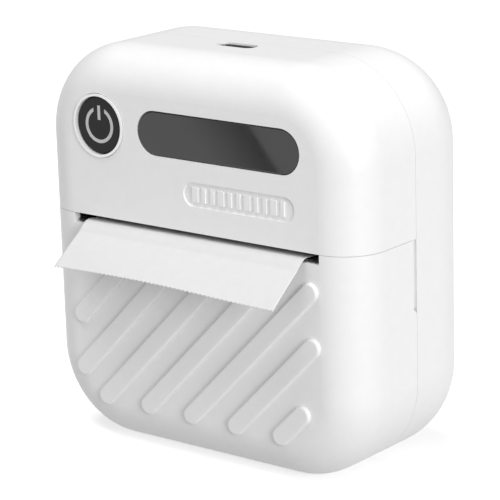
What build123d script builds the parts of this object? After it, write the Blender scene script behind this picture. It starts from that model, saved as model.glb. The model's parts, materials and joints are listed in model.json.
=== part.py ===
from build123d import *

import math
import os

# A desktop thermal label printer. Millimetres, +Z up, -Y is the front.
# The origin is on the ground plane, at mid width and mid depth.

# ---- case -------------------------------------------------------------
width = 82.0
height = 84.4
depth = 44.0
wall = 2.0
corner_radius = 19.0
front_edge_radius = 9.0
rear_edge_radius = 15.5
seam = 0.08
door_depth = 20.0
slot_z = 48.9
slot_gap = 1.6
front = -depth / 2
rear = depth / 2
side_seam_y = front + door_depth

# ---- finger groove at the rear edge of each door wing ------------------
groove_width = 1.0
groove_length = 14.3
groove_step = 2.3
groove_floor = 0.7
groove_lip = 3.2
groove_lip_thickness = 1.2
groove_bottom_z = slot_z - groove_length

# ---- ribs on the door ---------------------------------------------------
rib_width = 4.0
rib_pitch = 8.18
rib_height = 0.8
rib_edge_radius = 0.48
rib_count = 7
rib_field_right = width / 2 - front_edge_radius
rib_field_left = -rib_field_right - 0.5
rib_field_bottom = 8.0
rib_field_top = slot_z - 5.9
first_rib_distance = 40.7
last_rib_shortening = 2.85

# ---- hinge of the door ---------------------------------------------------
hinge_setback = 0.4
hinge_y = side_seam_y - hinge_setback
hinge_z = 1.9
knuckle_radius = 1.85
hinge_clearance = 0.3
pin_radius = 0.75
pin_clearance = 0.05
knuckle_from = 18.3
knuckle_to = 23.9
barrel_end = 31.5
pin_from = 14.0
pin_to = 26.5

# ---- paper ---------------------------------------------------------------
paper_width = 57.0
paper_thickness = 0.2
roll_radius = 15.0
roll_lift = 6.5
core_radius = 6.35
core_wall = 1.2
roll_y = side_seam_y - 1.0
roll_z = roll_radius + roll_lift
strip_reach = 10.4
strip_slope = 36.5
strip_bend_radius = 1.2
exit_angle = 6.0
nip_clearance = 0.06

# ---- platen and print head -------------------------------------------------
platen_radius = 3.8
platen_length = paper_width + 1.0
platen_y = front + 6.4
platen_z = slot_z - 5.6
shaft_radius = 1.5
bush_radius = 2.6
bush_clearance = 0.05
head_angle = 25.0
head_gap = 0.06
ceramic_depth = 7.0
ceramic_thickness = 0.8
head_width = paper_width - 1.0
heatsink_thickness = 2.2
head_reach = 12.0
head_pivot_radius = 1.0
head_eye_radius = 2.2
head_eye_length = 6.4

# ---- springs on the print head ----------------------------------------------
spring_height = 5.2
spring_radius = 1.7
spring_wire = 0.45
spring_pitch = 1.1
spring_spread = 18.0
spring_place = 2.0

# ---- chassis -----------------------------------------------------------------
cheek_inner_x = paper_width / 2 + 0.9
cheek_thickness = 1.6
cheek_outer_x = cheek_inner_x + cheek_thickness
cheek_case_gap = 0.3
bucket_gap = 0.6
bucket_wall = 1.2
bridge_thickness = 1.6
arm_gap = 0.4
arm_thickness = 1.6
slot_length = paper_width + 7.0

# ---- gear train -------------------------------------------------------------
gear_module = 0.5
platen_teeth = 14
idler_teeth = 28
motor_teeth = 12
gear_face = 2.0
gear_x = cheek_outer_x + arm_gap + arm_thickness + 0.3
gear_pocket_clearance = 0.45
mesh_clearance = 0.05
idler_direction = 18.0
idler_axle_radius = 1.0
motor_direction = 37.0
motor_radius = 7.5
motor_length = 12.0
motor_can_wall = 1.1
magnet_radius = 4.4
magnet_gap = 0.5
motor_shaft_radius = 0.75

# ---- screws and posts -----------------------------------------------------------
post_x = width / 2 - wall - 4.5
post_top_z = slot_z + 11.6
post_bottom_z = 20.0
post_radius = 2.6
rear_post_radius = 3.5
screw_radius = 1.0
screw_clearance = 0.2
screw_bite = 8.0
tab_thickness = 2.0
screw_head_radius = 2.0
screw_head_height = 1.4
screw_seat_y = 8.5

# ---- controls on the front ------------------------------------------------------
controls_z = height - 16.2
button_x = -23.9
button_radius = 5.95
button_recess = 0.35
ring_inner_radius = 6.1
ring_outer_radius = 6.65
ring_flange = 0.8
flange_seat_gap = 0.1
button_travel = 0.6
symbol_stroke = 0.7
symbol_radius = 3.4
symbol_relief = 0.08
window_left = -13.5
window_right = 27.8
window_half_height = 4.65
lens_clearance = 0.1
lens_recess = 0.15
lens_flange = 1.2
lens_flange_thickness = 0.8
plaque_left = -1.75
plaque_right = 26.3
plaque_z = controls_z - 11.4
plaque_half_height = 2.53
plaque_depth = 0.35
plaque_bar_count = 11
plaque_bar_half_height = 1.5
plaque_margin = 3.0

# ---- electronics ------------------------------------------------------------------
board_y = side_seam_y - 6.0
board_thickness = 1.6
board_half_width = 26.0
board_below_controls = 9.7
board_above_controls = 11.3
switch_size = 6.0
switch_body_height = 2.4
switch_height = 3.4
key_radius = 1.6
glass_length = 36.0
glass_height = 9.0
glass_thickness = 1.6
tray_rim = 1.5
tray_thickness = 1.4
leg_width = 2.0
usb_width = 8.94
usb_thickness = 3.26
usb_length = 7.3
usb_wall = 0.3
usb_recess = 0.3
usb_clearance = 0.25
battery_width = 34.0
battery_height = 46.0
battery_thickness = 4.8
battery_bottom_z = 14.0
battery_gap = 0.6


def across(sketch, low_x, high_x):
    """Extrudes a sketch drawn in (y, z) from one x to another."""
    return extrude(Plane.YZ.offset(low_x) * sketch, amount=high_x - low_x)


def through(sketch, low_y, high_y):
    """Extrudes a sketch drawn in (x, z) from one y to another."""
    plane = Plane(origin=(0, high_y, 0), x_dir=(1, 0, 0), z_dir=(0, -1, 0))
    return extrude(plane * sketch, amount=high_y - low_y)


def block(low, high):
    """A box given by its two opposite corners."""
    size = [b - a for a, b in zip(low, high)]
    middle = [(a + b) / 2 for a, b in zip(low, high)]
    return Pos(*middle) * Box(*size)


def plate(x, z, wide, tall, low_y, high_y):
    """A flat box in the (x, z) plane, centred on a point."""
    return through(Pos(x, z) * Rectangle(wide, tall), low_y, high_y)


def rod(y, z, radius, low_x, high_x):
    """A cylinder along X."""
    return across(Pos(y, z) * Circle(radius), low_x, high_x)


def stadium(left, right, z, half_height):
    """A slot shape in (x, z) with round ends."""
    length = right - left - 2 * half_height
    return Pos((left + right) / 2, z) * SlotCenterToCenter(length, 2 * half_height)


def both_sides(shape):
    """A shape and its mirror image on the other side."""
    return [shape, mirror(shape, about=Plane.YZ)]


def minus(shape, cutters):
    """Cuts a list of shapes away, one after another."""
    for cutter in cutters:
        shape = shape - cutter
    return shape


def plus(shape, extras):
    """Joins a list of shapes on, one after another."""
    for extra in extras:
        shape = shape + extra
    return shape


def case_solid(inset):
    """The case's rounded body, moved inwards by an inset."""
    outline = RectangleRounded(width - 2 * inset, height - 2 * inset, corner_radius - inset)
    body = through(Pos(0, height / 2) * outline, front + inset, rear - inset)
    faces = body.faces().sort_by(Axis.Y)
    body = fillet(faces[0].edges(), front_edge_radius - inset)
    rear_face = body.faces().sort_by(Axis.Y)[-1]
    return fillet(rear_face.edges(), rear_edge_radius - inset)


outer_case = case_solid(0)
inner_case = case_solid(wall)
shell = outer_case - inner_case
half = width


# ---- places worked out from the sizes above -------------------------------------
def from_platen(radius, degrees):
    """A point (y, z) at a radius from the platen's axis, at an angle behind the top."""
    turn = math.radians(degrees)
    return (platen_y + radius * math.sin(turn), platen_z + radius * math.cos(turn))


def unit(degrees):
    """The unit vector (y, z) at an angle above the +Y direction."""
    turn = math.radians(degrees)
    return (math.cos(turn), math.sin(turn))


def moved(point, direction, distance):
    """A point moved along a direction."""
    return (point[0] + direction[0] * distance, point[1] + direction[1] * distance)


contact = from_platen(platen_radius + paper_thickness + head_gap, head_angle)
head_along = unit(-head_angle)
head_normal = unit(90 - head_angle)
head_pivot = moved(moved(contact, head_along, head_reach), head_normal, 2.0)
platen_pitch = gear_module * platen_teeth / 2
idler_pitch = gear_module * idler_teeth / 2
motor_pitch = gear_module * motor_teeth / 2
idler_centre = moved(
    (platen_y, platen_z), unit(idler_direction), platen_pitch + idler_pitch + mesh_clearance
)
motor_centre = moved(idler_centre, unit(motor_direction), idler_pitch + motor_pitch + mesh_clearance)
lip_z = slot_z - slot_gap
tear_bar_z = lip_z - 0.5
board_front = board_y - board_thickness / 2
board_back = board_y + board_thickness / 2
usb_y = board_back + usb_thickness / 2
switch_front = board_front - switch_height
button_face_y = front + button_recess
plaque_face_y = front + wall - 0.1
latch_y = side_seam_y - groove_lip - 1.8


# ---- case pieces ------------------------------------------------------------------
def screw_posts():
    """The four posts (x, z) where the screws join the case halves."""
    return [(x, z) for z in (post_top_z, post_bottom_z) for x in (-post_x, post_x)]


def front_shell():
    """The upper front of the case, with its openings and the plaque."""
    keep = block((-half, -half, slot_z), (half, side_seam_y - seam / 2, 2 * half))
    body = shell & keep
    window = stadium(window_left, window_right, controls_z, window_half_height)
    ring_hole = Pos(button_x, controls_z) * Circle(ring_outer_radius + 0.1)
    plaque = stadium(plaque_left, plaque_right, plaque_z, plaque_half_height)
    port_width = usb_width + 2 * usb_clearance
    port_thickness = usb_thickness + 2 * usb_clearance
    port = Pos(0, usb_y, height) * Box(port_width, port_thickness, 4 * wall)
    port = fillet(port.edges().filter_by(Axis.Z), usb_thickness / 2)
    ring_seat = Pos(button_x, controls_z) * Circle(ring_outer_radius + ring_flange + flange_seat_gap)
    reach = lens_flange + flange_seat_gap
    lens_seat = stadium(window_left - reach, window_right + reach, controls_z, window_half_height + reach)
    body = minus(
        body,
        [
            through(window, front - 1, front + 2 * wall),
            through(ring_hole, front - 1, front + 2 * wall),
            through(plaque, front - 1, front + plaque_depth),
            through(ring_seat, front + wall + 0.05, front + wall + 0.7),
            through(lens_seat, front + wall, front + wall + lens_flange_thickness + flange_seat_gap),
            port,
        ],
    )
    bar_left = plaque_left + plaque_margin
    bar_step = (plaque_right - plaque_margin - bar_left) / (plaque_bar_count - 1)
    for number in range(plaque_bar_count):
        bar_width = 0.9 if number % 3 else 1.5
        bar_x = bar_left + number * bar_step
        body += plate(bar_x, plaque_z, bar_width, 2 * plaque_bar_half_height, front, plaque_face_y)
    for x, z in screw_posts()[:2]:
        post = through(Pos(x, z) * Circle(post_radius), front, side_seam_y - seam / 2)
        hole = through(Pos(x, z) * Circle(screw_radius), side_seam_y - screw_bite - 1, side_seam_y)
        body = body + (post & outer_case) - hole
    return body


def hinge_knuckles(low_x, high_x, radius):
    """A pair of barrels about the hinge axis, one on each side."""
    return both_sides(rod(hinge_y, hinge_z, radius, low_x, high_x))


def rear_shell():
    """The back half of the case, with its half of the hinge and the screw posts."""
    keep = block((-half, side_seam_y + seam / 2, -half), (half, half, 2 * half))
    body = shell & keep
    swing = hinge_z + hinge_clearance
    body -= rod(hinge_y, hinge_z, knuckle_radius + hinge_clearance, -barrel_end - 0.3, barrel_end + 0.3)
    body -= block((-barrel_end - 0.3, hinge_y, -1), (barrel_end + 0.3, hinge_y + swing, hinge_z + 0.05))
    lug = block(
        (knuckle_from, hinge_y, hinge_z),
        (knuckle_to, hinge_y + swing + 1.5, hinge_z + knuckle_radius),
    )
    body = plus(body, both_sides(lug))
    body = plus(body, hinge_knuckles(knuckle_from, knuckle_to, knuckle_radius))
    body = minus(body, hinge_knuckles(knuckle_from - 1, knuckle_to + 1, pin_radius + pin_clearance))
    inside = width / 2 - wall
    lip_end = inside - 0.2
    lip = block(
        (lip_end - groove_lip_thickness, side_seam_y - groove_lip, groove_bottom_z - 4),
        (lip_end, side_seam_y + 2, slot_z - 2 * seam),
    )
    root = block(
        (lip_end - groove_lip_thickness, side_seam_y + seam, groove_bottom_z - 4),
        (inside + 0.5, side_seam_y + 2, slot_z - 2 * seam),
    )
    floor = block(
        (lip_end - groove_lip_thickness, side_seam_y - groove_width + seam, groove_bottom_z + seam),
        (width / 2 - groove_floor, side_seam_y + 2, slot_z - 2 * seam),
    )
    body = plus(body, both_sides(lip + root + floor))
    for x, z in screw_posts():
        post = through(Pos(x, z) * Circle(rear_post_radius), side_seam_y + seam / 2, rear) & outer_case
        hole = through(Pos(x, z) * Circle(screw_radius + screw_clearance), side_seam_y, rear)
        head_hole = through(Pos(x, z) * Circle(screw_head_radius + 0.3), screw_seat_y, rear + 1)
        body = body + post - hole - head_hole
    return body


def door_ribs():
    """Slanted rounded ribs, clipped to a field on the door's face."""
    rib_end = rib_width / 2
    ribs = []
    for number in range(rib_count):
        offset = (first_rib_distance - number * rib_pitch) * math.sqrt(2)
        low_z = max(rib_field_bottom + rib_end, rib_field_left + rib_end + offset)
        high_z = min(rib_field_top - rib_end, rib_field_right - rib_end + offset)
        if number == rib_count - 1:
            high_z -= last_rib_shortening
        low = (low_z - offset, low_z)
        high = (high_z - offset, high_z)
        length = math.dist(low, high)
        place = Pos((low[0] + high[0]) / 2, (low[1] + high[1]) / 2) * Rot(0, 0, 45)
        rib = through(place * SlotCenterToCenter(length, rib_width), front - rib_height, front + 0.5)
        top = rib.faces().sort_by(Axis.Y)[0]
        ribs.append(fillet(top.edges(), rib_edge_radius))
    return ribs


def paper_door():
    """The lower front of the case: it swings down about the hinge at its bottom edge."""
    keep = block((-half, -half, -half), (half, side_seam_y - seam / 2, slot_z - seam))
    body = shell & keep
    barrels = hinge_knuckles(knuckle_to + hinge_clearance, barrel_end, knuckle_radius)
    middle_end = knuckle_from - hinge_clearance
    middle = rod(hinge_y, hinge_z, knuckle_radius, -middle_end, middle_end)
    body = plus(body, [barrel & outer_case for barrel in barrels] + [middle & outer_case])
    gap_radius = knuckle_radius + hinge_clearance
    body = minus(body, hinge_knuckles(middle_end, knuckle_to + hinge_clearance, gap_radius))
    pin_hole = pin_radius + pin_clearance
    body = minus(body, hinge_knuckles(pin_from - hinge_clearance, pin_to + hinge_clearance, pin_hole))
    slot = block((-slot_length / 2, front - 1, tear_bar_z), (slot_length / 2, side_seam_y, slot_z))
    body -= slot
    groove = Polyline(
        (side_seam_y + 1, slot_z),
        (side_seam_y - groove_width, slot_z),
        (side_seam_y - groove_width, groove_bottom_z),
        (side_seam_y - groove_width + groove_step, groove_bottom_z - groove_step),
        (side_seam_y + 1, slot_z),
    )
    body = minus(body, both_sides(across(make_face(groove), half / 2 - wall - 2.0, half)))
    body = plus(body, door_ribs())
    pocket_radius = platen_pitch + 0.8 * gear_module + gear_pocket_clearance
    body -= rod(platen_y, platen_z, pocket_radius, gear_x - 0.3, gear_x + gear_face + 0.9)
    arm = Polyline(
        (front + wall - 0.3, platen_z - 12),
        (front + wall - 0.3, platen_z + 2.4),
        (platen_y + 3.4, platen_z + 2.4),
        (platen_y + 3.4, platen_z - 4),
        (front + wall - 0.3, platen_z - 12),
    )
    arm_x = cheek_outer_x + arm_gap
    arm = across(make_face(arm), arm_x, arm_x + arm_thickness)
    arm -= rod(platen_y, platen_z, bush_radius, cheek_outer_x, cheek_outer_x + 4)
    body = plus(body, both_sides(arm))
    return body


def hinge_pins():
    """The two steel pins of the door hinge."""
    return hinge_knuckles(pin_from, pin_to, pin_radius)


def door_latches():
    """A spring hook inside each door wing, near its top rear corner."""
    inside = width / 2 - wall
    hook = block((inside - 1.0, latch_y - 3.5, slot_z - 8), (inside, latch_y, slot_z - 3))
    barb = block((inside - 1.8, latch_y - 1.8, slot_z - 8), (inside - 1.0, latch_y, slot_z - 3))
    return both_sides(hook + barb)


def tear_bar():
    """A flat steel strip on the door's lip, with saw teeth along its front edge."""
    tooth_pitch = 1.15
    tooth_depth = 0.7
    end = slot_length / 2 - 0.4
    root_y = front + 1.4
    bar_depth = 1.8
    count = int(2 * end / tooth_pitch)
    start = -count * tooth_pitch / 2
    points = [(-end, root_y + bar_depth), (-end, root_y), (start, root_y)]
    for number in range(count):
        points.append((start + (number + 0.5) * tooth_pitch, root_y - tooth_depth))
        points.append((start + (number + 1) * tooth_pitch, root_y))
    points += [(end, root_y), (end, root_y + bar_depth), points[0]]
    outline = make_face(Polyline(*points))
    return [extrude(Pos(0, 0, tear_bar_z) * outline, amount=lip_z - tear_bar_z)]


# ---- paper ------------------------------------------------------------------------
def paper_roll():
    """The wound paper, with a bore for its core."""
    roll = rod(roll_y, roll_z, roll_radius, -paper_width / 2, paper_width / 2)
    return [roll - rod(roll_y, roll_z, core_radius, -paper_width, paper_width)]


def roll_core():
    """The cardboard tube that the paper is wound on."""
    tube = rod(roll_y, roll_z, core_radius, -paper_width / 2, paper_width / 2)
    return [tube - rod(roll_y, roll_z, core_radius - core_wall, -paper_width, paper_width)]


def sheet_section(points, radius):
    """The section of a thin sheet along a route with rounded corners."""
    return trace(FilletPolyline(*points, radius=radius), line_width=paper_thickness)


def web_tangent():
    """The angle behind the top at which the sheet leaves the roll and meets the platen."""
    across_y = platen_y - roll_y
    across_z = platen_z - roll_z
    span = math.hypot(across_y, across_z)
    lean = math.degrees(math.atan2(-across_y, across_z))
    spread = math.degrees(math.asin((roll_radius - platen_radius) / span))
    return 90 - lean - spread


def paper_web():
    """The sheet between the roll and the nip."""
    angle = web_tangent()
    off_roll = (
        roll_y + (roll_radius + 0.5) * math.sin(math.radians(angle)),
        roll_z + (roll_radius + 0.5) * math.cos(math.radians(angle)),
    )
    at_platen = from_platen(platen_radius + 0.5 * paper_thickness, angle)
    whole = Line(off_roll, at_platen)
    section = trace(Line(off_roll, whole @ (1 - 1.8 / whole.length)), line_width=paper_thickness)
    return [across(section, -paper_width / 2, paper_width / 2)]


def paper_strip():
    """The printed sheet from the nip, over the tear bar and down in front."""
    middle = platen_radius + 0.5 * paper_thickness + nip_clearance
    start = from_platen(middle, exit_angle + 8)
    leave = from_platen(middle, exit_angle)
    lip = (front + 0.2, lip_z + 0.42)
    end_y = front - strip_reach
    drop = (lip[0] - end_y) * math.tan(math.radians(strip_slope))
    end = (end_y, lip[1] - drop)
    section = sheet_section([start, leave, lip, end], strip_bend_radius)
    return [across(section, -paper_width / 2, paper_width / 2)]


# ---- platen and gears -----------------------------------------------------------------
def platen_roller():
    """The rubber sleeve on the platen's shaft."""
    sleeve = rod(platen_y, platen_z, platen_radius, -platen_length / 2, platen_length / 2)
    return [sleeve - rod(platen_y, platen_z, shaft_radius, -half, half)]


def platen_shaft():
    """The steel shaft through the platen and its gear."""
    return [rod(platen_y, platen_z, shaft_radius, -cheek_outer_x - 3.0, gear_x + gear_face + 0.6)]


def platen_bushes():
    """The two bushes that carry the shaft in the door's arms."""
    arm_x = cheek_outer_x + arm_gap
    bush = rod(platen_y, platen_z, bush_radius, arm_x, arm_x + arm_thickness)
    bush -= rod(platen_y, platen_z, shaft_radius + bush_clearance, 0, half)
    return both_sides(bush)


def gear(teeth, centre, first_tooth, bore, low_x):
    """A spur gear about X whose first tooth points at an angle above +Y."""
    pitch = gear_module * teeth / 2
    root = pitch - 1.1 * gear_module
    tip = pitch + 0.8 * gear_module
    step = 360 / teeth
    profile = Circle(root)
    for number in range(teeth):
        middle = first_tooth + number * step
        corners = []
        for radius, share in ((root - 0.1, -0.3), (tip, -0.1), (tip, 0.1), (root - 0.1, 0.3)):
            along = unit(middle + share * step)
            corners.append((along[0] * radius, along[1] * radius))
        profile += make_face(Polyline(*corners, corners[0]))
    profile -= Circle(bore)
    return across(Pos(*centre) * profile, low_x, low_x + gear_face)


def platen_gear():
    """The gear on the end of the platen's shaft."""
    return [gear(platen_teeth, (platen_y, platen_z), idler_direction, shaft_radius, gear_x)]


def idler_phase():
    """The idler's tooth angle that puts a gap opposite the platen gear's tooth."""
    return idler_direction + 180 + 180 / idler_teeth


def motor_phase():
    """The pinion's tooth angle that meets the idler in mesh."""
    step = 360 / idler_teeth
    part_turn = ((motor_direction - idler_phase()) / step) % 1
    return motor_direction + 180 + (0.5 + part_turn) * 360 / motor_teeth


def idler_gear():
    """The gear between the motor's pinion and the platen gear."""
    return [gear(idler_teeth, idler_centre, idler_phase(), idler_axle_radius + bush_clearance, gear_x)]


def idler_axle():
    """The fixed pin that the idler turns on."""
    return [rod(*idler_centre, idler_axle_radius, cheek_inner_x, gear_x + gear_face + 0.6)]


def motor_pinion():
    """The small gear on the motor's shaft."""
    pinion = gear(motor_teeth, motor_centre, motor_phase(), motor_shaft_radius, gear_x)
    return [pinion]


motor_back_x = cheek_inner_x - motor_length + motor_can_wall
motor_front_x = cheek_inner_x - motor_can_wall


def motor_shaft():
    """The shaft of the stepper motor."""
    return [rod(*motor_centre, motor_shaft_radius, motor_back_x + 0.2, gear_x + gear_face + 0.4)]


def motor_tube(outer_radius, inner_radius, end_gap):
    """A ring inside the motor's can."""
    low_x = motor_back_x + end_gap
    high_x = motor_front_x - end_gap
    outside = rod(*motor_centre, outer_radius, low_x, high_x)
    return outside - rod(*motor_centre, inner_radius, low_x - 1, high_x + 1)


def motor_magnet():
    """The magnet on the motor's shaft."""
    return [motor_tube(magnet_radius, motor_shaft_radius, 0.6)]


def motor_coils():
    """The windings that line the motor's can."""
    return [motor_tube(motor_radius - motor_can_wall, magnet_radius + magnet_gap, 0.0)]


def stepper_motor():
    """The motor's can, against the inner face of the cheek."""
    can = rod(*motor_centre, motor_radius, cheek_inner_x - motor_length, cheek_inner_x)
    can -= rod(*motor_centre, motor_radius - motor_can_wall, motor_back_x, motor_front_x)
    bore_radius = motor_shaft_radius + bush_clearance
    return [can - rod(*motor_centre, bore_radius, motor_front_x - 1, cheek_inner_x + 1)]


# ---- print head -----------------------------------------------------------------------
def slab(near, far, lift, thickness, half_width):
    """A slab parallel to the head's face, between two distances along it."""
    base = moved(contact, head_normal, lift)
    corners = [
        moved(base, head_along, near),
        moved(base, head_along, far),
        moved(moved(base, head_along, far), head_normal, thickness),
        moved(moved(base, head_along, near), head_normal, thickness),
    ]
    return across(make_face(Polyline(*corners, corners[0])), -half_width, half_width)


def print_head():
    """The ceramic strip that carries the heating dots."""
    return [slab(-ceramic_depth / 2, ceramic_depth / 2, 0, ceramic_thickness, head_width / 2)]


def head_heatsink():
    """The aluminium plate behind the ceramic, with the eyes for its pivot."""
    heatsink_end = cheek_inner_x - 1.0
    body = slab(-ceramic_depth / 2, head_reach - 1.8, ceramic_thickness, heatsink_thickness, heatsink_end)
    eye = rod(*head_pivot, head_eye_radius, heatsink_end - head_eye_length, heatsink_end)
    body = plus(body, both_sides(eye))
    return [body - rod(*head_pivot, head_pivot_radius + bush_clearance, -half, half)]


def head_pivot_pin():
    """The pin across the chassis that the head tilts on."""
    return [rod(*head_pivot, head_pivot_radius, -cheek_outer_x, cheek_outer_x)]


spring_base = moved(
    moved(contact, head_normal, ceramic_thickness + heatsink_thickness), head_along, spring_place
)


def head_springs():
    """Coil springs that press the head on the platen."""
    springs = []
    for x in (-spring_spread, 0.0, spring_spread):
        coil = Helix(pitch=spring_pitch, height=spring_height - 2 * spring_wire, radius=spring_radius)
        start = coil @ 0
        profile = Plane(origin=start, z_dir=coil % 0) * Circle(spring_wire / 2)
        spring = sweep(profile, path=coil)
        seat = Plane(
            origin=(x, *moved(spring_base, head_normal, spring_wire)),
            x_dir=(1, 0, 0),
            z_dir=(0, *head_normal),
        )
        springs.append(seat * spring)
    return springs


# ---- chassis ----------------------------------------------------------------------------
def chassis():
    """The moulded inner frame: the roll's bucket, two cheeks and the spring bridge."""
    inner = roll_radius + bucket_gap
    outer = inner + bucket_wall
    ring = Circle(outer) - Circle(inner)
    open_top = make_face(Polyline((-40, -6), (0, 0), (40, 8), (40, 40), (-40, 40), (-40, -6)))
    bucket = across(Pos(roll_y, roll_z) * (ring - open_top), -cheek_inner_x, cheek_inner_x)
    cheek_outline = Polyline(
        (roll_y - 14.0, roll_z - 13.5),
        (roll_y - 14.0, roll_z + 10.5),
        (platen_y + 4.6, platen_z - 5.3),
        (platen_y + 4.6, slot_z + 8.6),
        (motor_centre[0] + 6.5, slot_z + 8.6),
        (roll_y + 15.6, slot_z + 1.1),
        (roll_y + 15.6, roll_z - 9.5),
        (roll_y + 9.0, roll_z - 16.7),
        (roll_y - 5.0, roll_z - 16.7),
        (roll_y - 14.0, roll_z - 13.5),
    )
    cheek = across(make_face(cheek_outline), cheek_inner_x, cheek_outer_x)
    cheek &= case_solid(wall + cheek_case_gap)
    cheek -= rod(*head_pivot, head_pivot_radius, 0, half)
    cheek -= rod(*idler_centre, idler_axle_radius, 0, half)
    cheek -= rod(*motor_centre, motor_shaft_radius + 0.45, 0, half)
    body = plus(bucket, both_sides(cheek))
    seat = moved(spring_base, head_normal, spring_height)
    bridge = [
        moved(seat, head_along, -3.2),
        moved(seat, head_along, 2.4),
        moved(moved(seat, head_along, 2.4), head_normal, bridge_thickness),
        moved(moved(seat, head_along, -3.2), head_normal, bridge_thickness),
    ]
    body += across(make_face(Polyline(*bridge, bridge[0])), -cheek_inner_x, cheek_inner_x)
    for x, z in screw_posts()[2:]:
        tab = block(
            (cheek_inner_x, side_seam_y - tab_thickness, z - post_radius),
            (post_x + post_radius, side_seam_y, z + post_radius),
        )
        if x < 0:
            tab = mirror(tab, about=Plane.YZ)
        hole = through(Pos(x, z) * Circle(screw_radius), side_seam_y - tab_thickness - 1, side_seam_y)
        body = body + tab - hole
    return body


# ---- controls -----------------------------------------------------------------------------
def button_ring():
    """The bright trim ring around the power button."""
    ring = Circle(ring_outer_radius) - Circle(ring_inner_radius)
    trim = through(Pos(button_x, controls_z) * ring, front - 0.25, front + wall + 0.6)
    flange = Circle(ring_outer_radius + ring_flange) - Circle(ring_inner_radius)
    return [trim + through(Pos(button_x, controls_z) * flange, front + wall + 0.1, front + wall + 0.6)]


def power_button():
    """The round key cap, with a stem that reaches the switch."""
    place = Pos(button_x, controls_z)
    cap = through(place * Circle(button_radius), button_face_y, front + wall + 0.8)
    cap = fillet(cap.edges().sort_by(Axis.Y)[0], 0.3)
    neck = through(place * Circle(button_radius - 1.5), front + wall, front + wall + 1.6)
    collar = through(place * Circle(button_radius + 1.5), front + wall + 1.4, front + wall + 2.2)
    stem = through(place * Circle(key_radius), front + wall, switch_front - 0.1)
    return [cap + neck + collar + stem]


def power_symbol():
    """A broken ring and a bar, laid on the button's face."""
    outside = Circle(symbol_radius + symbol_stroke / 2)
    ring = outside - Circle(symbol_radius - symbol_stroke / 2)
    gap = Pos(0, symbol_radius) * Rectangle(3.0, 4.0)
    bar = Pos(0, symbol_radius - 0.8) * Rectangle(symbol_stroke, 3.0)
    place = Pos(button_x, controls_z)
    marks = [place * (ring - gap), place * bar]
    return [through(mark, button_face_y - symbol_relief, button_face_y) for mark in marks]


def tact_switch():
    """The switch on the board behind the button."""
    base_y = board_front - switch_body_height
    base = plate(button_x, controls_z, switch_size, switch_size, base_y, board_front)
    key = through(Pos(button_x, controls_z) * Circle(key_radius), switch_front + button_travel, board_front)
    return [base + key]


def display_lens():
    """The smoked window, with a flange behind the case wall."""
    clear = lens_clearance
    window = stadium(window_left + clear, window_right - clear, controls_z, window_half_height - clear)
    rim = lens_flange
    flange = stadium(window_left - rim, window_right + rim, controls_z, window_half_height + rim)
    plug = through(window, front + lens_recess, front + wall + lens_flange_thickness)
    plug = fillet(plug.faces().sort_by(Axis.Y)[0].edges(), 0.3)
    return [plug + through(flange, front + wall, front + wall + lens_flange_thickness)]


def display_module():
    """The display glass and its frame, between the lens and the board."""
    middle = (window_left + window_right) / 2
    glass_y = front + wall + lens_flange_thickness + 0.2
    tray_y = glass_y + glass_thickness
    legs_y = tray_y + tray_thickness
    glass = plate(middle, controls_z, glass_length, glass_height, glass_y, tray_y)
    tray_size = (glass_length + 2 * tray_rim, glass_height + 2 * tray_rim)
    tray = plate(middle, controls_z, *tray_size, tray_y, legs_y)
    leg_x = (glass_length - leg_width) / 2
    legs = [
        plate(middle + x, controls_z, leg_width, glass_height - 1.0, legs_y, board_front)
        for x in (-leg_x, leg_x)
    ]
    return plus(glass + tray, legs)


# ---- electronics ------------------------------------------------------------------------------
def main_board():
    """The circuit board behind the controls."""
    low = (-board_half_width, board_front, controls_z - board_below_controls)
    high = (board_half_width, board_back, controls_z + board_above_controls)
    return [block(low, high)]


def board_parts():
    """Chips and capacitors on the rear of the board: place, size and height of each."""
    places = (
        (-14.0, -2.2, 7.0, 7.0, 1.2),
        (6.0, -4.2, 5.0, 5.0, 1.0),
        (-20.0, 5.8, 4.0, 3.0, 1.5),
        (16.0, 3.8, 6.0, 4.0, 1.8),
        (20.0, -5.2, 3.0, 3.0, 2.2),
    )
    return [
        plate(x, controls_z + up, wide, tall, board_back, board_back + deep)
        for x, up, wide, tall, deep in places
    ]


def usb_port():
    """The metal shell of the USB-C inlet, open at the top."""
    top = height - usb_recess
    outside = Pos(0, usb_y) * RectangleRounded(usb_width, usb_thickness, usb_thickness / 2 - 0.01)
    inside = Pos(0, usb_y) * RectangleRounded(
        usb_width - 2 * usb_wall, usb_thickness - 2 * usb_wall, usb_thickness / 2 - usb_wall - 0.01
    )
    body = extrude(Pos(0, 0, top - usb_length) * outside, amount=usb_length)
    return [body - extrude(Pos(0, 0, top - usb_length + 1.2) * inside, amount=usb_length)]


def usb_tongue():
    """The contact tongue inside the inlet."""
    low = (-3.3, usb_y - 0.35, height - usb_length + 0.9)
    return [block(low, (3.3, usb_y + 0.35, height - 1.2))]


def battery():
    """The flat cell between the roll's bucket and the rear of the case."""
    back_y = rear - wall - battery_gap
    low = (-battery_width / 2, back_y - battery_thickness, battery_bottom_z)
    high = (battery_width / 2, back_y, battery_bottom_z + battery_height)
    cell = block(low, high)
    return [fillet(cell.edges().filter_by(Axis.Z), 1.5)]


def paper_sensor():
    """The optical sensor on the cheek, just above the sheet."""
    low = (-cheek_inner_x, roll_y + 6.0, roll_z + roll_radius)
    return [block(low, (low[0] + 4.0, low[1] + 3.0, low[2] + 2.0))]


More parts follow.
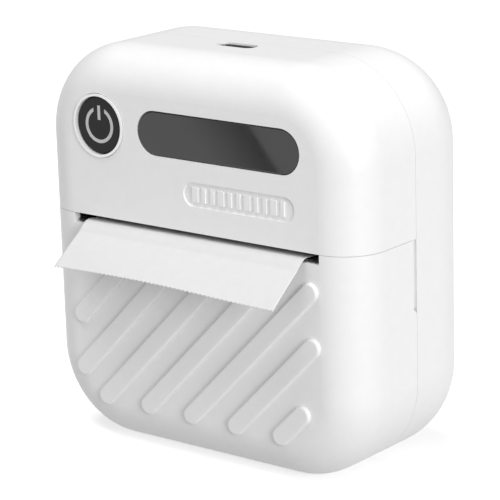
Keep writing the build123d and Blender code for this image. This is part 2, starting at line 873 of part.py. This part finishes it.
def case_screws():
    """The four screws that hold the case halves together from behind."""
    screws = []
    for x, z in screw_posts():
        end_y = side_seam_y - (screw_bite if z > slot_z else tab_thickness - 0.2)
        place = Pos(x, z)
        top_y = screw_seat_y + screw_head_height
        shank = through(place * Circle(screw_radius), end_y, top_y)
        head = through(place * Circle(screw_head_radius), screw_seat_y, top_y)
        cross = Rectangle(2.4, 0.5) + Rectangle(0.5, 2.4)
        screws.append(shank + head - through(place * cross, top_y - 0.7, top_y + 1))
    return screws


nodes = {
    "front_shell": front_shell,
    "rear_shell": rear_shell,
    "paper_door": paper_door,
    "hinge_pins": hinge_pins,
    "door_latches": door_latches,
    "tear_bar": tear_bar,
    "paper_roll": paper_roll,
    "roll_core": roll_core,
    "paper_web": paper_web,
    "paper_strip": paper_strip,
    "platen_roller": platen_roller,
    "platen_shaft": platen_shaft,
    "platen_bushes": platen_bushes,
    "platen_gear": platen_gear,
    "idler_gear": idler_gear,
    "idler_axle": idler_axle,
    "motor_pinion": motor_pinion,
    "motor_shaft": motor_shaft,
    "motor_magnet": motor_magnet,
    "motor_coils": motor_coils,
    "stepper_motor": stepper_motor,
    "print_head": print_head,
    "head_heatsink": head_heatsink,
    "head_pivot_pin": head_pivot_pin,
    "head_springs": head_springs,
    "chassis": chassis,
    "button_ring": button_ring,
    "power_button": power_button,
    "power_symbol": power_symbol,
    "tact_switch": tact_switch,
    "display_lens": display_lens,
    "display_module": display_module,
    "main_board": main_board,
    "board_parts": board_parts,
    "usb_port": usb_port,
    "usb_tongue": usb_tongue,
    "battery": battery,
    "paper_sensor": paper_sensor,
    "case_screws": case_screws,
}

os.makedirs("parts", exist_ok=True)
for name, make in nodes.items():
    made = make()
    shapes = made if isinstance(made, list) else [made]
    solids = [solid for shape in shapes for solid in shape.solids()]
    whole = solids[0] if len(solids) == 1 else Compound(children=solids)
    export_step(whole, f"parts/{name}.step")
    print(name, len(solids))
for label, point in (("idler", idler_centre), ("motor", motor_centre), ("pivot", head_pivot)):
    print(label, *(round(value, 4) for value in point))
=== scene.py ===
import json
import math

import bmesh
import bpy
from mathutils import Matrix, Vector


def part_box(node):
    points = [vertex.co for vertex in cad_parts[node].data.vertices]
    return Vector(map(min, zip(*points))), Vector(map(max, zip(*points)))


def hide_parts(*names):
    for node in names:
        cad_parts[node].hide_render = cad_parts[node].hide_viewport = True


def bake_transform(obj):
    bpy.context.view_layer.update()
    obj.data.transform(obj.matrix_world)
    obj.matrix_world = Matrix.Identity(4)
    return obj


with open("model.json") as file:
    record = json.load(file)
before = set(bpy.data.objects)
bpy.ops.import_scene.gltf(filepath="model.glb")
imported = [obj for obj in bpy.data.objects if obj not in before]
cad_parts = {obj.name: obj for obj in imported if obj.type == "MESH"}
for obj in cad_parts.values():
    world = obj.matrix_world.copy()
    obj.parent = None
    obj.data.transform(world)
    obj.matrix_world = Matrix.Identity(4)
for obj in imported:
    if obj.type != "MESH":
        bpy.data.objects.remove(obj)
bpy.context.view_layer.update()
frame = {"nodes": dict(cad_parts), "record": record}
MM = 0.001
scene = bpy.context.scene

paper_thickness = 0.1 * MM
tooth_pitch = 1.08 * MM
tooth_depth = 0.36 * MM


# ---- materials ------------------------------------------------------------------
def new_material(name):
    """A new node material, with its node tree and its shader."""
    material = bpy.data.materials.new(name)
    material.use_nodes = True
    tree = material.node_tree
    shader = tree.nodes["Principled BSDF"]
    return material, tree, shader


def noise(tree, scale, detail=3.0, stretch=(1, 1, 1)):
    """A noise texture in object space. Its scale is in features per metre."""
    place = tree.nodes.new("ShaderNodeTexCoord")
    mapping = tree.nodes.new("ShaderNodeMapping")
    mapping.inputs["Scale"].default_value = stretch
    texture = tree.nodes.new("ShaderNodeTexNoise")
    texture.inputs["Scale"].default_value = scale
    texture.inputs["Detail"].default_value = detail
    tree.links.new(place.outputs["Object"], mapping.inputs["Vector"])
    tree.links.new(mapping.outputs["Vector"], texture.inputs["Vector"])
    return texture


def spread(tree, source, low, high):
    """Maps a texture's middle range on to two values."""
    mapped = tree.nodes.new("ShaderNodeMapRange")
    mapped.inputs["From Min"].default_value = 0.3
    mapped.inputs["From Max"].default_value = 0.7
    mapped.inputs["To Min"].default_value = low
    mapped.inputs["To Max"].default_value = high
    tree.links.new(source.outputs["Fac"], mapped.inputs["Value"])
    return mapped.outputs["Result"]


def tint(tree, shader, source, first, second):
    """Colours the surface between two close tones."""
    ramp = tree.nodes.new("ShaderNodeValToRGB")
    ramp.color_ramp.elements[0].position = 0.3
    ramp.color_ramp.elements[1].position = 0.7
    ramp.color_ramp.elements[0].color = (*first, 1)
    ramp.color_ramp.elements[1].color = (*second, 1)
    tree.links.new(source.outputs["Fac"], ramp.inputs["Fac"])
    tree.links.new(ramp.outputs["Color"], shader.inputs["Base Color"])


def bump(tree, shader, source, height):
    """Adds a fine relief of that height in metres."""
    relief = tree.nodes.new("ShaderNodeBump")
    relief.inputs["Strength"].default_value = 1.0
    relief.inputs["Distance"].default_value = height
    tree.links.new(source.outputs["Fac"], relief.inputs["Height"])
    tree.links.new(relief.outputs["Normal"], shader.inputs["Normal"])


def surface(name, tones, roughness, grain, relief, metallic=0.0, stretch=(1, 1, 1), coat=0.0, ior=1.5):
    """A material with two close tones, uneven roughness and a fine grain."""
    material, tree, shader = new_material(name)
    cloudy = noise(tree, grain / 12, 2.0, stretch)
    fine = noise(tree, grain, 4.0, stretch)
    tint(tree, shader, cloudy, *tones)
    tree.links.new(spread(tree, fine, *roughness), shader.inputs["Roughness"])
    bump(tree, shader, fine, relief)
    shader.inputs["Metallic"].default_value = metallic
    shader.inputs["Coat Weight"].default_value = coat
    shader.inputs["Coat Roughness"].default_value = 0.04
    shader.inputs["IOR"].default_value = ior
    return material


def grey(value):
    """A neutral colour."""
    return (value, value, value)


materials = {
    "white_shell": surface("white_shell", (grey(0.84), grey(0.855)), (0.38, 0.46), 5200, 0.000003),
    "black_gloss": surface(
        "black_gloss", (grey(0.014), grey(0.018)), (0.06, 0.1), 900, 0.0000004, ior=1.25
    ),
    "smoked_lens": surface("smoked_lens", (grey(0.022), grey(0.026)), (0.03, 0.05), 400, 0.0000003),
    "bright_trim": surface(
        "bright_trim", (grey(0.84), grey(0.88)), (0.22, 0.28), 2500, 0.000001, metallic=0.2
    ),
    "symbol_grey": surface("symbol_grey", (grey(0.5), grey(0.55)), (0.3, 0.4), 4000, 0.000001),
    "thermal_paper": surface("thermal_paper", (grey(0.68), grey(0.7)), (0.5, 0.6), 6000, 0.000002),
    "core_card": surface(
        "core_card", ((0.42, 0.31, 0.2), (0.5, 0.38, 0.25)), (0.75, 0.9), 2500, 0.00002
    ),
    "platen_rubber": surface("platen_rubber", (grey(0.02), grey(0.03)), (0.6, 0.75), 4000, 0.000008),
    "steel": surface(
        "steel", (grey(0.55), grey(0.62)), (0.22, 0.34), 3000, 0.000002, metallic=1.0, stretch=(0.08, 1, 1)
    ),
    "black_steel": surface("black_steel", (grey(0.018), grey(0.026)), (0.3, 0.4), 4000, 0.000003),
    "aluminium": surface(
        "aluminium", ((0.7, 0.71, 0.73), (0.76, 0.77, 0.79)), (0.3, 0.42), 2600, 0.000003,
        metallic=1.0, stretch=(1, 0.1, 1),
    ),
    "head_ceramic": surface(
        "head_ceramic", ((0.78, 0.74, 0.66), (0.84, 0.8, 0.73)), (0.12, 0.2), 1500, 0.000001
    ),
    "gear_plastic": surface(
        "gear_plastic", ((0.72, 0.68, 0.58), (0.78, 0.74, 0.65)), (0.35, 0.5), 3500, 0.000004
    ),
    "frame_plastic": surface("frame_plastic", (grey(0.035), grey(0.045)), (0.45, 0.6), 4200, 0.000008),
    "board_green": surface(
        "board_green", ((0.01, 0.1, 0.04), (0.015, 0.13, 0.055)), (0.25, 0.35), 1800, 0.000003
    ),
    "chip_black": surface("chip_black", (grey(0.015), grey(0.022)), (0.4, 0.55), 5200, 0.000004),
    "copper_wire": surface(
        "copper_wire", ((0.42, 0.15, 0.05), (0.5, 0.2, 0.08)),
        (0.25, 0.4), 5200, 0.00002, stretch=(1, 0.1, 0.1)
    ),
    "battery_foil": surface(
        "battery_foil", ((0.3, 0.32, 0.35), (0.36, 0.38, 0.41)), (0.25, 0.4), 700, 0.00002
    ),
}

slots = {part["node"]: part["material_slot"] for part in frame["record"]["subparts"]}
for node, thing in frame["nodes"].items():
    thing.data.materials.clear()
    thing.data.materials.append(materials[slots[node]])


# ---- the paper --------------------------------------------------------------------
def lerp(a, b, share):
    """A point part of the way between two others."""
    return a + (b - a) * share


def bezier(points, steps):
    """Points along a cubic curve in (y, z), with no repeat of its end."""
    curve = []
    for step in range(steps):
        share = step / steps
        layer = list(points)
        while len(layer) > 1:
            layer = [lerp(a, b, share) for a, b in zip(layer, layer[1:])]
        curve.append(layer[0])
    return curve


def paper_route():
    """The middle of the sheet from the roll to its torn edge, in (y, z)."""
    web_low, web_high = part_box("paper_web")
    strip_low, strip_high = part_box("paper_strip")
    lip_low, lip_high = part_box("tear_bar")
    half = 0.1 * MM  # half the CAD paper's thickness
    off_roll = Vector((web_high[1] - half, web_low[2] + half))
    near_nip = Vector((web_low[1] + half, web_high[2] - half))
    on_platen = Vector((strip_high[1], strip_high[2] - 0.75 * MM))
    over_lip = Vector((lip_low[1] + 0.2 * MM, strip_high[2] - 0.1 * MM))
    down = Vector((over_lip[0] - 3.2 * MM, over_lip[1] - 1.95 * MM))
    end = Vector((strip_low[1], strip_low[2] + half))
    route = bezier([off_roll, lerp(off_roll, near_nip, 0.3), lerp(off_roll, near_nip, 0.7), near_nip], 12)
    route += bezier([near_nip, lerp(near_nip, on_platen, 0.5), on_platen], 6)
    route += bezier([on_platen, lerp(on_platen, over_lip, 0.4), over_lip], 10)
    before_bend = over_lip + Vector((-1.5 * MM, 0.05 * MM))
    route += bezier([over_lip, before_bend, down], 14)
    route += bezier([down, lerp(down, end, 0.5) + Vector((0.15 * MM, 0.25 * MM)), end], 24)
    route.append(end)
    return route


def paper():
    """The sheet as one mesh, with a torn edge of small teeth and a slight waviness."""
    low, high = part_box("paper_strip")
    route = paper_route()
    teeth = int((high[0] - low[0]) / tooth_pitch)
    columns = 4 * teeth
    hang_from = 32
    mesh = bmesh.new()
    grid = []
    last = len(route) - 1
    along = (route[last] - route[last - 1]).normalized()
    for row, point in enumerate(route):
        share = max(0.0, (row - hang_from) / (last - hang_from))
        line = []
        for column in range(columns + 1):
            x = low[0] + (high[0] - low[0]) * column / columns
            side = x / high[0]
            lift = share * share * (0.35 * math.cos(2.6 * side + 0.5) - 0.12 * side) * MM
            y, z = point
            if row == last:
                step = (0.0, 0.5, 1.0, 0.5)[column % 4]
                y -= along[0] * tooth_depth * step
                z -= along[1] * tooth_depth * step
            line.append(mesh.verts.new((x, y, z + lift)))
        grid.append(line)
    for upper, lower in zip(grid, grid[1:]):
        for corner in range(columns):
            mesh.faces.new((upper[corner], upper[corner + 1], lower[corner + 1], lower[corner]))
    bmesh.ops.recalc_face_normals(mesh, faces=mesh.faces)
    data = bpy.data.meshes.new("paper_sheet")
    mesh.to_mesh(data)
    mesh.free()
    for face in data.polygons:
        face.use_smooth = True
    piece = bpy.data.objects.new("paper_sheet", data)
    scene.collection.objects.link(piece)
    thickness = piece.modifiers.new("thickness", "SOLIDIFY")
    thickness.thickness = paper_thickness
    thickness.offset = 0
    data.materials.append(materials["thermal_paper"])
    return piece


sheet = paper()
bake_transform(sheet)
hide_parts("paper_web", "paper_strip")


# ---- floor, light and camera ---------------------------------------------------------
def floor_material(tone):
    """An even pale material, with a little light of its own like a lit sweep."""
    material, tree, shader = new_material("floor")
    shader.inputs["Emission Color"].default_value = (1, 1, 1, 1)
    shader.inputs["Emission Strength"].default_value = 0.42
    shader.inputs["Base Color"].default_value = (*grey(tone), 1)
    shader.inputs["Roughness"].default_value = 0.9
    return material


def flat_piece(name, corners, material):
    """A single flat face through its corners."""
    data = bpy.data.meshes.new(name)
    data.from_pydata(corners, [], [tuple(range(len(corners)))])
    data.materials.append(material)
    piece = bpy.data.objects.new(name, data)
    scene.collection.objects.link(piece)
    return piece


floor_reach = 6.0
floor_corners = [(x * floor_reach, y * floor_reach, 0) for x, y in ((-1, -1), (1, -1), (1, 1), (-1, 1))]
floor = flat_piece("floor", floor_corners, floor_material(0.9))
# No light bounces up from the floor on to the object.
floor.visible_diffuse = False

world = bpy.data.worlds.new("studio")
scene.world = world
world.use_nodes = True
world.node_tree.nodes["Background"].inputs["Color"].default_value = (1, 1, 1, 1)
world.node_tree.nodes["Background"].inputs["Strength"].default_value = 0.43


def area_light(name, at, aim, size, power):
    """A soft square light that looks at a point."""
    data = bpy.data.lights.new(name, "AREA")
    data.size = size
    data.energy = power
    lamp = bpy.data.objects.new(name, data)
    lamp.location = at
    lamp.rotation_euler = (Vector(aim) - Vector(at)).to_track_quat("-Z", "Y").to_euler()
    scene.collection.objects.link(lamp)
    return lamp


middle = (0, 0, 0.042)
area_light("side", (1.08, -0.42, 0.34), middle, 0.5, 9.0)
area_light("top", (-0.1, -0.25, 1.2), middle, 0.7, 8.0)
area_light("fill", (-0.4, -1.1, 0.2), middle, 0.8, 0.8)

camera_at = Vector((0.30111, -0.37714, 0.17043))
camera_right = Vector((0.78570594, 0.61801553, -0.02688836))
camera_up = Vector((-0.1409555, 0.22118636, 0.96499126))
camera_back = camera_right.cross(camera_up)
turn = Matrix((camera_right, camera_up, camera_back)).transposed()
camera_data = bpy.data.cameras.new("camera")
camera_data.lens = 172.4
camera_data.sensor_width = 36
camera_data.shift_x = -0.0203
camera_data.shift_y = 0.0019
camera = bpy.data.objects.new("camera", camera_data)
camera.matrix_world = Matrix.Translation(camera_at) @ turn.to_4x4()
scene.collection.objects.link(camera)
scene.camera = camera
scene.view_settings.view_transform = "Standard"


# ---- dark card that shows in the glossy window -------------------------------------------
def seen_in_window(x, z, card_z):
    """Where a level card at that height shows at a point of the window's face, for this camera."""
    face = Vector((x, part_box("display_lens")[0][1], z))
    ray = face - camera_at
    ray[1] = -ray[1]
    return face + ray * ((card_z - face[2]) / ray[2])


def dark_card():
    """A level card whose slanted edge shows across the window, and which fades out to the left."""
    card_z = 12 * MM
    fade = 17.0 * MM
    upper = Vector((15.9 * MM, 72.0 * MM))
    lower = Vector((22.4 * MM, 64.2 * MM))
    start = lerp(upper, lower, -1.0)
    end = lerp(upper, lower, 2.0)
    corners = [seen_in_window(x, z, card_z) for x, z in (start, end)]
    corners += [seen_in_window(x - fade, z, card_z) for x, z in (end, start)]
    material, tree, shader = new_material("dark_card")
    shader.inputs["Base Color"].default_value = (*grey(0.2), 1)
    shader.inputs["Roughness"].default_value = 0.9
    cover = tree.nodes.new("ShaderNodeAttribute")
    cover.attribute_name = "cover"
    tree.links.new(cover.outputs["Fac"], shader.inputs["Alpha"])
    card = flat_piece("dark_card", corners, material)
    values = card.data.attributes.new("cover", "FLOAT", "POINT")
    for item, value in zip(values.data, (1.0, 1.0, 0.0, 0.0)):
        item.value = value
    card.visible_camera = False
    card.visible_diffuse = False
    card.visible_shadow = False


dark_card()
